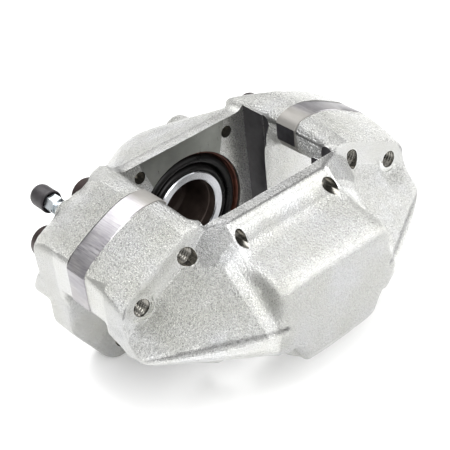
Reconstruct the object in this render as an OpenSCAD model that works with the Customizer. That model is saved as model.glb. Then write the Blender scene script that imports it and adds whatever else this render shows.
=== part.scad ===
// Fixed brake caliper: two castings, two spacer blocks, four bridge bolts and two opposed pistons.
// X runs along the caliper, +Y points inboard along the piston axis, +Z points away from the hub.
// The origin is on the piston axis, in the middle plane of the pad bay.

/* [Pad bay] */
// Length of the pad bay, along X
bay_length = 78; // [76:1:80]
// Distance between the two walls that carry the pistons
bay_depth = 61.8; // [60:0.2:64]
// Height of the bay's rim above the piston axis
bay_top = 41.5; // [41:0.5:43]
// Distance between the pad abutments of the two halves
slot_width = 33; // [30:1:34]

/* [Disc] */
// Radius of the clearance arc above the disc
disc_clear_r = 144.5; // [143:0.5:145]
// Depth of the wheel axis below the piston axis
hub_depth = 113; // [112:0.5:114]

/* [Arms and spacers] */
// Half of the caliper's length
half_length = 88.3; // [87:0.1:90]
// Distance from the bay's middle plane to the inboard face of a spacer
spacer_in = 7; // [5:0.5:8]
// Distance from the bay's middle plane to the outboard face of a spacer
spacer_out = 6; // [5:0.5:8]
// Distance from the middle plane to the outer face of the outboard arms
arm_out = 31; // [30:0.5:33]
// Distance from the middle plane to the outer face of the inboard arms
arm_in = 36; // [35:0.5:38]

/* [Bridge bolts] */
// Nominal diameter of a bridge bolt
bolt_d = 10; // [10:1:10]
// Diameter of a bolt's round head
head_d = 16; // [15:0.5:17]
// Height of a bolt's head
head_h = 10; // [8:0.5:11]
// Distance of the seat of the bolt heads from the middle plane
seat_y = 33.5; // [33:0.5:34]
// Length of thread that a bolt takes up in the outboard half
thread_length = 15; // [12:0.5:16]
// Across flats of the hexagon socket
socket_af = 8; // [6:1:8]

/* [Pistons] */
// Diameter of a piston
piston_d = 48; // [46:1:48]
// Diameter of a piston's open end, which carries the dust boot
nose_d = 42; // [40:1:43]
// Inner diameter of a piston's cup
cup_d = 33.2; // [30:0.2:34]
// Length of a piston
piston_length = 32; // [30:1:33]
// How far a retracted piston stands back from the bay's wall
piston_set_back = 1; // [0.5:0.1:2]
// Diameter of the recess for the dust boot
recess_d = 64.2; // [62:0.2:65]
// Depth of the recess for the dust boot
recess_depth = 8; // [7:0.5:9]

/* [Ports] */
// Thread diameter of the bleed screw
bleed_d = 8; // [7:1:10]
// Across flats of the bleed screw's hexagon
bleed_af = 8; // [7:1:8]
// Core diameter of the fluid inlet's thread
inlet_core_d = 9; // [8.5:0.1:9.2]
// Diameter of the drilled fluid passages
passage_d = 3.5; // [2.5:0.5:4]

/* [Fixing] */
// Diameter of the pad-pin holes
pin_hole_d = 6.4; // [6:0.1:7]
// Depth of the blind pad-pin holes in the inboard wall
pin_blind_depth = 6; // [5:0.5:7]
// Distance between the two mounting holes
lug_spacing = 116; // [112:1:118]
// Diameter of the mounting holes
lug_hole_d = 12.5; // [12:0.1:13]

/* [Hidden] */
$fn = 64;

bay_x = bay_length / 2;
wall_y = bay_depth / 2;
slot_y = slot_width / 2;
rim_edge_y = wall_y + 5.8;
bolt_r = bolt_d / 2;
bolt_clear_r = bolt_r + 0.25;
tapped_r = 4.4;
thread_end_y = spacer_out + thread_length;

// Bolt centres on the right-hand side, as [x, z]
upper_bolt = [50.9, 32.7];
lower_bolt = [76.8, 19.2];
// Fluid passage between the bolts, pad pins, mounting holes, bleed screw and inlet, as [x, z]
passage = [64.5, 26];
pin = [27.1, 34];
lug = [lug_spacing / 2, -36.5];
bleed = [-65, 31];
bleed_boss = [-bleed[0], bleed[1]];
inlet = [25, 20];
inlet_mouth_y = 71;
inlet_depth = 14;

// Piston, bore and seal, measured along the piston axis from the bay's middle plane
piston_r = piston_d / 2;
nose_r = nose_d / 2;
bore_clear = 0.05;
bore_r = piston_r + bore_clear;
recess_r = recess_d / 2;
recess_y = wall_y + recess_depth;
piston_y = wall_y + piston_set_back;
piston_end_y = piston_y + piston_length;
bore_end_y = piston_end_y + 2;
seal_y = recess_y + 6;
seal_w = 4;
groove_r = bore_r + 3.6;
boot_groove_r = nose_r - 1.6;
boot_groove_y = piston_y + 1.6;

// Bleed screw and cap, measured along +Y
bleed_r = bleed_d / 2;
bleed_seat_y = 27;
bleed_mouth_y = 39.5;
bleed_face_r = 6.7;
hex_y = 44.5;
hex_end_y = 51.5;
nipple_r = 2.9;
nipple_end_y = 60;
cap_y = 50.6;
cap_end_y = 62.2;
cap_r = 5.8;
seal_ring_r = 3.6;
seal_wire_r = 1.1;

zinc = [0.78, 0.79, 0.76];
machined = [0.66, 0.65, 0.68];
dark_steel = [0.16, 0.12, 0.11];
black_rubber = [0.07, 0.07, 0.07];
bright_zinc = [0.80, 0.82, 0.85];

// ---------- shared shapes ----------

// Smallest convex solid round a list of points
module hull_of(points) {
    hull() polyhedron(points = points, faces = [[for (i = [0:len(points) - 1]) i]]);
}

// The same shape on the right (+X) and the left (-X)
module both_sides() {
    children();
    mirror([1, 0, 0]) children();
}

// Outline given as [x, z], drawn out along Y between two distances
module along_y(from, to) {
    translate([0, to, 0]) rotate([90, 0, 0]) linear_extrude(to - from) children();
}

// Round bar along Y at [x, z]
module rod(at, r, from, to) {
    translate([at[0], from, at[1]]) rotate([-90, 0, 0]) cylinder(h = to - from, r = r);
}

// Ring along the piston axis from an outline given as [radius, distance]
module turned(at = [0, 0]) {
    translate([at[0], 0, at[1]]) rotate([-90, 0, 0]) rotate_extrude() children();
}

// Straight drilled hole between two points
module drilled(from, to, r) {
    d = to - from;
    translate(from)
        rotate([0, acos(d[2] / norm(d)), atan2(d[1], d[0])])
            cylinder(h = norm(d), r = r);
}

// Points of an [x, z] outline at one distance along Y
function at_y(outline, y) = [for (p = outline) [p[0], y, p[1]]];

// Section of a right-hand arm as [x, z], from the bay's rim over the crowned top to the underside.
// The top is lowered by drop, which grows from the bay's rim towards the end face.
function arm_section(drop) = [
    [bay_x, 43.5 - 0.2 * drop], [41.5, 46.6 - 0.25 * drop], [48, 47.9 - 0.5 * drop],
    [56, 47.4 - 0.75 * drop], [65, 44.3 - 0.85 * drop], [75.5, 39.1 - 0.85 * drop],
    [84.4, 33.8 - 0.9 * drop], [half_length, 29 - 0.9 * drop],
    [half_length, 10.5], [84, 5.5], [50, 22], [42, 29], [bay_x, 34]];

// Section of an inboard arm at its outer face, as [x, z]
arm_end = [[bay_x, 42.2], [43, 42.4], [50.4, 40.6], [56, 38.8], [64, 36.2], [73.5, 34],
    [84.4, 29.1], [half_length, 24.3], [half_length, 10.5], [84, 5.5], [50, 22], [42, 29],
    [bay_x, 34]];

// Section of the wall below an arm as [x, z]; low is the height of its outer corner
function abutment_section(low) = [
    [bay_x, 34], [half_length, low + 6], [half_length, low],
    [62, -13], [47, -28], [bay_x + 2, -34.5], [bay_x, -34.5]];

// ---------- space taken out of both halves ----------

module bay_space() {
    translate([-bay_x, -wall_y, -80]) cube([bay_length, bay_depth, 160]);
}

module disc_space() {
    translate([0, 0, -hub_depth]) rotate([90, 0, 0])
        cylinder(h = slot_width, r = disc_clear_r, center = true, $fn = 180);
}

// Bore, seal groove and boot recess of one half
module cylinder_space() {
    turned() polygon([[0, wall_y - 1], [recess_r, wall_y - 1], [recess_r, recess_y],
        [bore_r, recess_y], [bore_r, seal_y], [groove_r, seal_y], [groove_r, seal_y + seal_w],
        [bore_r, seal_y + seal_w], [bore_r, bore_end_y], [0, bore_end_y]]);
}

// Fluid passage of one end: through hole, seal pocket and cross drilling to the cylinder
module passage_space(face_y) {
    rod(passage, passage_d / 2, face_y - 1, 20);
    rod(passage, seal_ring_r + seal_wire_r + 0.1, face_y - 1, face_y + 1.8);
    drilled([passage[0], 18, passage[1]], [14, bore_end_y - 2, 6], passage_d / 2);
}

// ---------- castings ----------

// Right-hand arm and wall of the inboard half, up to its outer face
module inboard_arm() {
    hull_of(concat(at_y(arm_section(0), spacer_in), at_y(arm_section(1), arm_in - 11),
        at_y(arm_end, arm_in), [[bay_x, 40, 44.2], [43, 41, 44], [38, 46, 41.5], [44, 45, 41]]));
    hull_of(concat(at_y(abutment_section(5), slot_y), at_y(abutment_section(-2), arm_in - 4),
        at_y(abutment_section(0), arm_in),
        [[half_length, 37.6, 7], [half_length, 42.4, -2], [84, 42.4, -7], [66, 41, -12]]));
    rod(bleed_boss, 6.2, arm_in - 6, bleed_mouth_y);
}

// Mounting lug on the right-hand side
module mounting_lug() {
    hull() {
        rod([lug[0] + 3, lug[1] + 1], 12, 18, 34, $fn = 32);
        translate([bay_x, 18, -18]) cube([half_length - bay_x - 2, 16, 20]);
        translate([bay_x - 2, 18, -38]) cube([8, 18, 30]);
    }
}

// Round cylinder housing, narrowing from the rim of the bay
module inboard_housing() {
    hull() {
        translate([-44, wall_y, -20]) cube([88, 9, 56]);
        translate([-bay_x, wall_y, 0]) cube([bay_length, rim_edge_y - wall_y + 1.5, bay_top]);
        rod([0, 0], 32, wall_y + 20, 69, $fn = 48);
        rod([0, 0], 30, wall_y + 20, 71, $fn = 48);
    }
    rod([0, 0], 37, wall_y, 46);
    rod(inlet, 9.5, 46, inlet_mouth_y);
}

module inboard_half() color(zinc) {
    difference() {
        union() {
            both_sides() inboard_arm();
            both_sides() mounting_lug();
            inboard_housing();
        }
        bay_space();
        disc_space();
        cylinder_space();
        both_sides() {
            for (at = [upper_bolt, lower_bolt]) {
                rod(at, bolt_clear_r, 0, seat_y + 1);
                rod(at, head_d / 2 + 1, seat_y, 60);
            }
            rod(pin, pin_hole_d / 2, wall_y - 1, wall_y + pin_blind_depth);
            rod(lug, lug_hole_d / 2, 10, 40);
            passage_space(spacer_in);
        }
        rod(bleed, bleed_r + 0.05, bleed_seat_y, bleed_mouth_y + 1);
        rod(bleed, bleed_face_r, bleed_mouth_y, bleed_mouth_y + 5);
        drilled([bleed[0], bleed_seat_y + 1, bleed[1]], [-passage[0], 16, passage[1]], 1.5);
        rod(inlet, inlet_core_d / 2, inlet_mouth_y - inlet_depth, inlet_mouth_y + 1);
        drilled([inlet[0], inlet_mouth_y - inlet_depth + 1, inlet[1]], [10, bore_end_y - 3, 8],
            passage_d / 2);
    }
}

// Right-hand arm, wall and wing of the outboard half, measured outwards
module outboard_arm() {
    hull_of(concat(at_y(arm_section(0), spacer_out), at_y(arm_section(3.4), 18),
        at_y(arm_section(9.5), arm_out)));
    hull_of(concat(at_y(abutment_section(4), slot_y), at_y(abutment_section(0), arm_out)));
    hull_of(concat(wing_face, wing_lip, at_y(abutment_section(0), arm_out)));
    translate([30, 0, 0]) rotate([90, 0, 90]) linear_extrude(bay_x - 30) polygon(bay_corner);
}

// Corners of the flat wing between an outboard arm and the housing, and of the lip below it
wing_face = [[half_length, arm_out, 10.2], [60, arm_out, 25], [30, arm_out, 41.6],
    [86.3, 42, 0.9], [32, 74, 2.9]];
wing_lip = [[half_length, 41, -0.2], [87.6, 42.2, -0.4], [64, 57, -2.4], [49, 65.8, -4.7],
    [40, 69.6, -7.9], [30, 71.5, -13]];

// Side view of the rise from the wing to the corner of the bay's rim, as [distance, z]
bay_corner = [[wall_y - 0.5, 24], [wall_y - 0.5, bay_top], [arm_out, bay_top], [42, 28], [42, 24]];

// Side view of the angular housing as [distance, z]: rim, scooped roof, front, underside
housing_side = concat([[wall_y, bay_top], [rim_edge_y, bay_top]],
    [for (a = [0:16:80]) [rim_edge_y + 10.8 - 10 * cos(a), 40.5 - 10 * sin(a)]],
    [[55, 29.2], [69, 26.6], [72, 25], [73.8, 22], [74.3, 0], [73.4, -19], [72, -21.5],
    [62, -34], [48, -37], [wall_y, -37]]);

// Front view of the angular housing as [x, z]
housing_front = [[32.2, 50], [31.6, 22], [34.5, 1], [15.5, -22], [12, -36],
    [-12, -36], [-15.5, -22], [-34.5, 1], [-31.6, 22], [-32.2, 50]];

module outboard_housing() {
    intersection() {
        rotate([90, 0, 90]) linear_extrude(80, center = true) polygon(housing_side);
        union() {
            along_y(wall_y, 80) polygon(housing_front);
            rod([0, 0], 37, wall_y, 46);
            rod([0, 0], 33.5, wall_y, 63);
        }
    }
}

module outboard_half() color(zinc) mirror([0, 1, 0]) {
    difference() {
        union() {
            both_sides() outboard_arm();
            outboard_housing();
        }
        bay_space();
        disc_space();
        cylinder_space();
        both_sides() {
            for (at = [upper_bolt, lower_bolt]) {
                rod(at, bolt_r, 0, thread_end_y + 0.5);
                rod(at, tapped_r, 0, 80);
            }
            rod(lower_bolt, 8.5, arm_out, 80);
            rod(upper_bolt, 5.5, arm_out, 80);
            rod(pin, pin_hole_d / 2, wall_y - 1, 80);
            passage_space(spacer_out);
        }
    }
}

// ---------- spacers and bolts ----------

module right_spacer_body() {
    difference() {
        along_y(-spacer_out, spacer_in) polygon(arm_section(0));
        disc_space();
        translate([0, -20, 0]) cube([bay_x + 1, 40, 60]);
        for (at = [upper_bolt, lower_bolt]) rod(at, bolt_clear_r, -20, 20);
        rod(passage, passage_d / 2, -20, 20);
    }
}

module right_spacer() color(machined) right_spacer_body();
module left_spacer() color(machined) mirror([1, 0, 0]) right_spacer_body();

// Socket-head bolt at [x, z], with its head on the inboard half
module bridge_bolt(at) color(dark_steel) {
    difference() {
        union() {
            rod(at, bolt_r, -thread_end_y, seat_y + 1);
            rod(at, head_d / 2, seat_y, seat_y + head_h);
        }
        rod(at, socket_af / 2 / cos(30), seat_y + head_h - 5, seat_y + head_h + 1, $fn = 6);
    }
}

module upper_right_bolt() bridge_bolt(upper_bolt);
module lower_right_bolt() bridge_bolt(lower_bolt);
module upper_left_bolt() bridge_bolt([-upper_bolt[0], upper_bolt[1]]);
module lower_left_bolt() bridge_bolt([-lower_bolt[0], lower_bolt[1]]);

// ---------- pistons, seals and boots ----------

module inboard_piston() color(bright_zinc) turned() polygon([
    [cup_d / 2, piston_y], [nose_r, piston_y], [nose_r, boot_groove_y],
    [boot_groove_r, boot_groove_y], [boot_groove_r, boot_groove_y + 2.6],
    [nose_r, boot_groove_y + 2.6], [nose_r, recess_y - 0.6], [piston_r, recess_y + 1],
    [piston_r, piston_end_y - 1], [piston_r - 1, piston_end_y], [0, piston_end_y],
    [0, piston_end_y - 6], [cup_d / 2 - 2, piston_end_y - 6], [cup_d / 2, piston_end_y - 8]]);

module inboard_piston_seal() color(black_rubber) turned() polygon([
    [piston_r + 0.02, seal_y + 0.2], [groove_r - 0.05, seal_y + 0.2],
    [groove_r - 0.05, seal_y + seal_w - 0.2], [piston_r + 0.02, seal_y + seal_w - 0.2]]);

// Bellows between the recess and the piston's groove
module inboard_dust_boot() color(black_rubber) turned() polygon([
    [recess_r - 0.1, recess_y - 0.1], [recess_r - 0.1, recess_y - 3], [29.4, recess_y - 3.2],
    [28.3, recess_y - 5.6], [26.6, recess_y - 6.2], [25.2, recess_y - 5], [24.6, recess_y - 3.4],
    [23.6, recess_y - 3.2], [22.9, piston_y + 1.2], [nose_r + 0.2, piston_y + 0.9],
    [nose_r + 0.2, boot_groove_y + 0.2], [boot_groove_r + 0.1, boot_groove_y + 0.2],
    [boot_groove_r + 0.1, boot_groove_y + 2.4], [22.2, boot_groove_y + 2.4],
    [23.2, recess_y - 2], [25.2, recess_y - 1.9], [26.3, recess_y - 4.4],
    [27.4, recess_y - 4.4], [28.2, recess_y - 2], [28.6, recess_y - 0.1]]);

// Metal ring that holds the boot's outer bead in the recess
module inboard_boot_ring() color(dark_steel) turned() polygon([
    [recess_r - 0.1, recess_y - 3.1], [recess_r - 0.1, recess_y - 6.2],
    [recess_r - 1.1, recess_y - 6.6], [recess_r - 1.5, recess_y - 4.2],
    [30, recess_y - 4], [29.9, recess_y - 3.3]]);

module outboard_piston() mirror([0, 1, 0]) inboard_piston();
module outboard_piston_seal() mirror([0, 1, 0]) inboard_piston_seal();
module outboard_dust_boot() mirror([0, 1, 0]) inboard_dust_boot();
module outboard_boot_ring() mirror([0, 1, 0]) inboard_boot_ring();

// ---------- bleed screw, cap and passage seals ----------

module bleed_screw() color(bright_zinc) {
    turned(bleed) polygon([[0, bleed_seat_y + 0.3], [1.6, bleed_seat_y + 0.3],
        [bleed_r, bleed_seat_y + 3], [bleed_r, bleed_mouth_y], [3, bleed_mouth_y + 0.4],
        [3, hex_y], [3, hex_end_y], [nipple_r, hex_end_y], [2.3, hex_end_y + 2],
        [nipple_r, nipple_end_y - 4], [nipple_r, nipple_end_y - 2], [2, nipple_end_y],
        [0, nipple_end_y]]);
    rod(bleed, bleed_af / 2 / cos(30), hex_y, hex_end_y, $fn = 6);
}

module bleed_cap() color(black_rubber) turned(bleed) polygon([
    [4.9, cap_y], [cap_r, cap_y], [cap_r, cap_end_y - 1.4], [cap_r - 1.4, cap_end_y],
    [0, cap_end_y], [0, nipple_end_y + 0.3], [nipple_r + 0.1, nipple_end_y + 0.3],
    [nipple_r + 0.1, hex_end_y + 0.9], [4.9, hex_end_y + 0.6]]);

// Rubber ring round a passage, in the pocket of a half
module passage_seal(x, y) color(black_rubber)
    turned([x, passage[1]]) translate([seal_ring_r, y]) circle(seal_wire_r - 0.22, $fn = 24);

module left_inner_passage_seal() passage_seal(-passage[0], spacer_in + 0.9);
module left_outer_passage_seal() passage_seal(-passage[0], -spacer_out - 0.9);
module right_inner_passage_seal() passage_seal(passage[0], spacer_in + 0.9);
module right_outer_passage_seal() passage_seal(passage[0], -spacer_out - 0.9);

inboard_half();
outboard_half();
left_spacer();
right_spacer();
upper_left_bolt();
lower_left_bolt();
upper_right_bolt();
lower_right_bolt();
inboard_piston();
outboard_piston();
inboard_piston_seal();
outboard_piston_seal();
inboard_dust_boot();
outboard_dust_boot();
inboard_boot_ring();
outboard_boot_ring();
bleed_screw();
bleed_cap();
left_inner_passage_seal();
left_outer_passage_seal();
right_inner_passage_seal();
right_outer_passage_seal();
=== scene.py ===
"""Fixed brake caliper: castings grown from solid fields, machined with sharp cutters, and fitted parts.

Lengths in the script are millimetres until MM turns them into metres. X runs along the caliper,
+Y points inboard along the piston axis and +Z points away from the wheel hub, as in the CAD model.
"""
import math

import bmesh
import bpy
import numpy as np
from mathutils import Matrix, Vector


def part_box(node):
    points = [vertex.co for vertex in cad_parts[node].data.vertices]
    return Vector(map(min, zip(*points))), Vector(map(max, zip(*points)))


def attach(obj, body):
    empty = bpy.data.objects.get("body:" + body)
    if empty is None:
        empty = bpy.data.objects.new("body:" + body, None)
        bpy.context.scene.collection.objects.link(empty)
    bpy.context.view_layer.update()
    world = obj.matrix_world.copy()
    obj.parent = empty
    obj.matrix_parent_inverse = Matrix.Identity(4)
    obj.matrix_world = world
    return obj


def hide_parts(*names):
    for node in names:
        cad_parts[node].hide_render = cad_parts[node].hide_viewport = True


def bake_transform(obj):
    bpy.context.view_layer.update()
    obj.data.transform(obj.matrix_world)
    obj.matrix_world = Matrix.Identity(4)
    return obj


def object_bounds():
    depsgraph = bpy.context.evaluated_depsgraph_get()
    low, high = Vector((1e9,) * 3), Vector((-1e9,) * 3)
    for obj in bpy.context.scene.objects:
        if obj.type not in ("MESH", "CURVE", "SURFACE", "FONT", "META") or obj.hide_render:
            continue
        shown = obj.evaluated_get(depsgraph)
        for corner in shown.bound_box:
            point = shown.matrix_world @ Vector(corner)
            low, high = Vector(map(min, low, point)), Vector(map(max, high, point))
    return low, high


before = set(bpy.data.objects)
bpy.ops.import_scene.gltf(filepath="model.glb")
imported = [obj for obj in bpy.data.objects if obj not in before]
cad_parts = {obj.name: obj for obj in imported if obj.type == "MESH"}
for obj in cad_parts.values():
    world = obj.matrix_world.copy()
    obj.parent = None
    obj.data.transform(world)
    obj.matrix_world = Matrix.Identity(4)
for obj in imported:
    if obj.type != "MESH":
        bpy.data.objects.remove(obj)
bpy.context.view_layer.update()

import openvdb
from mathutils import Matrix, Vector, noise
from mathutils.bvhtree import BVHTree

MM = 0.001
INBOARD, OUTBOARD = 1, -1


# ---------- sizes read from the frame ----------

def node_box(node):
    """Lowest and highest corner of a CAD node, in millimetres."""
    low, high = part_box(node)
    return np.array(low) / MM, np.array(high) / MM


def rod_axis(node):
    """Centre [x, z] of a CAD node that is round about a line along Y."""
    low, high = node_box(node)
    middle = (low + high) / 2
    return float(middle[0]), float(middle[2])


SPACER_LOW, SPACER_HIGH = node_box("right_spacer")
PISTON_LOW, PISTON_HIGH = node_box("inboard_piston")
BOLT_LOW, BOLT_HIGH = node_box("upper_right_bolt")
BOOT_HIGH = node_box("inboard_dust_boot")[1]

HALF_LENGTH = SPACER_HIGH[0]
SPACER_IN = SPACER_HIGH[1]
SPACER_OUT = -SPACER_LOW[1]
UPPER_BOLT = rod_axis("upper_right_bolt")
LOWER_BOLT = rod_axis("lower_right_bolt")
BLEED = rod_axis("bleed_screw")
PISTON_R = PISTON_HIGH[0]
PISTON_Y = PISTON_LOW[1]
PISTON_END = PISTON_HIGH[1]
RECESS_R = BOOT_HIGH[0] + 0.1
RECESS_Y = BOOT_HIGH[1] + 0.1
HEAD_R = (BOLT_HIGH[0] - BOLT_LOW[0]) / 2
HEAD_TOP = BOLT_HIGH[1]

# Sizes that no node's box gives. _R is a radius, _Y a distance from the disc's middle plane.
# Pad bay and the slot for the disc
BAY_X = 39.0
WALL_Y = 30.9
BAY_TOP = 41.5
SLOT_Y = 16.5
RIM_EDGE_Y = WALL_Y + 5.8

# Castings: ends of the arms and housings, and how far the rough skin stays inside the CAD box
ARM_OUT = 31.0
ARM_IN = 36.0
OUT_REACH = 74.3
IN_REACH = 71.0
SKIN = 0.3
HOUSING_R = 37.0

# Space swept by the disc, and how far below the origin its centre is
DISC_R = 144.5
HUB_DEPTH = 113.0

# Bore of a piston, with its seal groove
BORE_R = PISTON_R + 0.05
BORE_END = PISTON_END + 2
SEAL_Y = RECESS_Y + 6
SEAL_WIDTH = 4.0
GROOVE_R = BORE_R + 3.6

# Bridge bolts and their holes
BOLT_R = 5.0
BOLT_PITCH = 1.5
BOLT_HOLE_R = BOLT_R + 0.25
SEAT_Y = 33.5
TAPPED_R = 4.15
SPOT_FACE_R = 6.6

# Other holes, with places as [x, z]
PIN = (27.1, 34.0)
PIN_R = 3.2
LUG = (58.0, -36.5)
LUG_MIDDLE = (61.0, -35.5)
LUG_HOLE_R = 6.25
INLET = (25.0, 20.0)
INLET_MOUTH_Y = 71.0
BLEED_BOSS_Y = 39.5
PASSAGE = (64.5, 26.0)
PASSAGE_R = 1.75
SEAL_POCKET_R = 4.8
SEAL_POCKET_DEPTH = 1.8

# Where a cutter is clear of a casting
CLEAR = 80.0


# ---------- meshes ----------

def add_object(name, points, faces, smooth=True):
    """New object from points in millimetres."""
    mesh = bpy.data.meshes.new(name)
    mesh.from_pydata([tuple(c * MM for c in p) for p in points], [], [tuple(f) for f in faces])
    mesh.update()
    obj = bpy.data.objects.new(name, mesh)
    bpy.context.scene.collection.objects.link(obj)
    fix_normals(mesh)
    if smooth:
        mesh.shade_smooth()
    return obj


def fix_normals(mesh):
    """Turns every face of a closed mesh outwards."""
    work = bmesh.new()
    work.from_mesh(mesh)
    bmesh.ops.recalc_face_normals(work, faces=work.faces)
    work.to_mesh(mesh)
    work.free()


def sharpen(obj, degrees):
    """Smooth shading with creases where faces meet at more than the angle."""
    obj.data.shade_smooth()
    obj.data.set_sharp_from_angle(angle=math.radians(degrees))


def finish(obj, degrees, *keys):
    """Gives an object its materials and its creases."""
    for key in keys:
        obj.data.materials.append(MATERIALS[key])
    sharpen(obj, degrees)
    return obj


def grid_faces(rows, columns, closed_rows=False):
    """Quads of a grid whose columns close on themselves, and its rows too if asked."""
    last = rows if closed_rows else rows - 1
    faces = []
    for i in range(last):
        for j in range(columns):
            k, m = (i + 1) % rows, (j + 1) % columns
            faces.append((i * columns + j, i * columns + m, k * columns + m, k * columns + j))
    return faces


def capped_faces(rows, columns):
    """Faces of a stack of rings with both ends closed."""
    last = (rows - 1) * columns
    return [*grid_faces(rows, columns), tuple(range(columns)),
            tuple(range(last, last + columns))[::-1]]


def circle(at, radius, y, count=20):
    """Points round a circle about a line along Y at [x, z]."""
    turns = [2 * math.pi * j / count for j in range(count)]
    return [(at[0] + radius * math.cos(a), y, at[1] + radius * math.sin(a)) for a in turns]


def turned(name, profile, at=(0.0, 0.0), segments=96, closed=True):
    """Solid of revolution about a line along Y at [x, z], from [radius, y] points."""
    points = [p for radius, y in profile for p in circle(at, radius, y, segments)]
    if closed:
        return add_object(name, points, grid_faces(len(profile), segments, closed_rows=True))
    return add_object(name, points, capped_faces(len(profile), segments))


def rod(name, at, radius, y0, y1, segments=64):
    """Plain cylinder along Y, used as a cutter."""
    return turned(name, [(radius, y0), (radius, y1)], at, segments, closed=False)


def box_points(low, high):
    """The eight corners of the box between two of them."""
    return [(x, y, z) for x in (low[0], high[0]) for y in (low[1], high[1])
            for z in (low[2], high[2])]


def block(name, low, high):
    """Box between two corners, used as a cutter."""
    faces = [(0, 1, 3, 2), (4, 6, 7, 5), (0, 4, 5, 1), (2, 3, 7, 6), (0, 2, 6, 4), (1, 5, 7, 3)]
    return add_object(name, box_points(low, high), faces, smooth=False)


def threaded_rod(name, at, major_r, depth, pitch, y0, y1, segments=40):
    """Rod along Y whose surface is a true helical thread."""
    rows_per_turn = 6
    rows = int(abs(y1 - y0) / pitch * rows_per_turn) + 1
    points = []
    for i in range(rows):
        y = y0 + (y1 - y0) * i / (rows - 1)
        for j in range(segments):
            turn = (y / pitch - j / segments) % 1.0
            ridge = min(1.0, max(0.0, 1.6 * (1 - abs(2 * turn - 1)) - 0.2))
            radius = major_r - depth * (1 - ridge)
            angle = 2 * math.pi * j / segments
            points.append((at[0] + radius * math.cos(angle), y, at[1] + radius * math.sin(angle)))
    return add_object(name, points, capped_faces(rows, segments))


def carve(obj, cutters, operation="DIFFERENCE"):
    """Cuts solids out of obj, or joins them to it, and deletes the solids."""
    for cutter in cutters:
        step = obj.modifiers.new("carve", "BOOLEAN")
        step.operation = operation
        step.solver = "MANIFOLD"
        step.object = cutter
    bpy.context.view_layer.update()
    evaluated = obj.evaluated_get(bpy.context.evaluated_depsgraph_get())
    mesh = bpy.data.meshes.new_from_object(evaluated)
    mesh.materials.clear()
    obj.modifiers.clear()
    obj.data = mesh
    for cutter in cutters:
        bpy.data.objects.remove(cutter)
    return obj


# ---------- solid fields: negative inside, in millimetres ----------

STEP = 0.85
FAR_INSIDE = -20


class Field:
    """A box of space sampled every STEP millimetres. Shapes are arrays of distances."""

    def __init__(self, low, high):
        self.low = np.array(low, float)
        counts = np.ceil((np.array(high) - self.low) / STEP).astype(int) + 1
        axes = [self.low[k] + STEP * np.arange(counts[k]) for k in range(3)]
        self.x = axes[0].astype(np.float32)[:, None, None]
        self.y = axes[1].astype(np.float32)[None, :, None]
        self.z = axes[2].astype(np.float32)[None, None, :]
        self.side = np.abs(self.x)

    def convex(self, points, soft=0.0, mirrored=True):
        """Convex solid round points, on both sides of the middle if mirrored."""
        x = self.side if mirrored else self.x
        result = None
        for normal, offset in hull_planes(points):
            plane = normal[0] * x + normal[1] * self.y + normal[2] * self.z - offset
            result = plane if result is None else smooth_max(result, plane, soft)
        return result

    def rod(self, at, radius, y0, y1, soft=0.0, mirrored=False):
        """Cylinder along Y at [x, z]."""
        x = self.side if mirrored else self.x
        wall = np.sqrt((x - at[0]) ** 2 + (self.z - at[1]) ** 2) - radius
        return smooth_max(smooth_max(wall, self.y - y1, soft), y0 - self.y, soft)

    def capsule(self, start, end, radius):
        """Round bar between two points, on both sides of the middle."""
        start, along = np.array(start), np.array(end) - np.array(start)
        dx, dy, dz = self.side - start[0], self.y - start[1], self.z - start[2]
        share = np.clip((dx * along[0] + dy * along[1] + dz * along[2]) / along.dot(along), 0, 1)
        return np.sqrt((dx - share * along[0]) ** 2 + (dy - share * along[1]) ** 2
                       + (dz - share * along[2]) ** 2) - radius

    def mesh(self, name, values, side=INBOARD):
        """Rounds the field a little and turns its surface into an object on one side of the disc."""
        band = 4.0
        grid = openvdb.FloatGrid(band)
        grid.copyFromArray(np.clip(blur(values), -band, band))
        grid.transform = openvdb.createLinearTransform(voxelSize=STEP)
        points, quads = grid.convertToQuads(isovalue=0.0)
        return add_object(name, (points + self.low) * (1, side, 1), quads.tolist())


def hull_planes(points):
    """Planes [outward normal, offset] of the convex hull of points."""
    work = bmesh.new()
    for p in points:
        work.verts.new(p)
    bmesh.ops.remove_doubles(work, verts=work.verts, dist=0.001)
    bmesh.ops.convex_hull(work, input=work.verts)
    centre = sum((v.co for v in work.verts), Vector()) / len(work.verts)
    planes = {}
    for face in work.faces:
        face.normal_update()
        if face.calc_area() < 0.01:
            continue
        normal = face.normal
        if normal.dot(face.verts[0].co - centre) < 0:
            normal = -normal
        offset = max(normal.dot(v.co) for v in face.verts)
        planes[tuple(round(c, 2) for c in (*normal, offset))] = (tuple(normal), offset)
    work.free()
    return list(planes.values())


def smooth_min(a, b, soft):
    """Both solids together, blended over about soft millimetres where they meet."""
    if soft <= 0:
        return np.minimum(a, b)
    share = np.clip(0.5 + 0.5 * (b - a) / soft, 0, 1)
    return b * (1 - share) + a * share - soft * share * (1 - share)


def smooth_max(a, b, soft):
    """What two solids have in common, with the edge between them softened."""
    if soft <= 0:
        return np.maximum(a, b)
    return -smooth_min(-a, -b, soft)


def blur(values, passes=2):
    """Rounds every edge of a field by averaging each sample with its neighbours."""
    for _ in range(passes):
        for axis in range(3):
            before = np.roll(values, 1, axis)
            after = np.roll(values, -1, axis)
            values = values * 0.5 + (before + after) * 0.25
    return values


# ---------- shapes that both halves share, with distances measured away from the disc ----------

def at_y(outline, y):
    """An [x, z] outline as points at one y."""
    return [(x, y, z) for x, z in outline]


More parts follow.
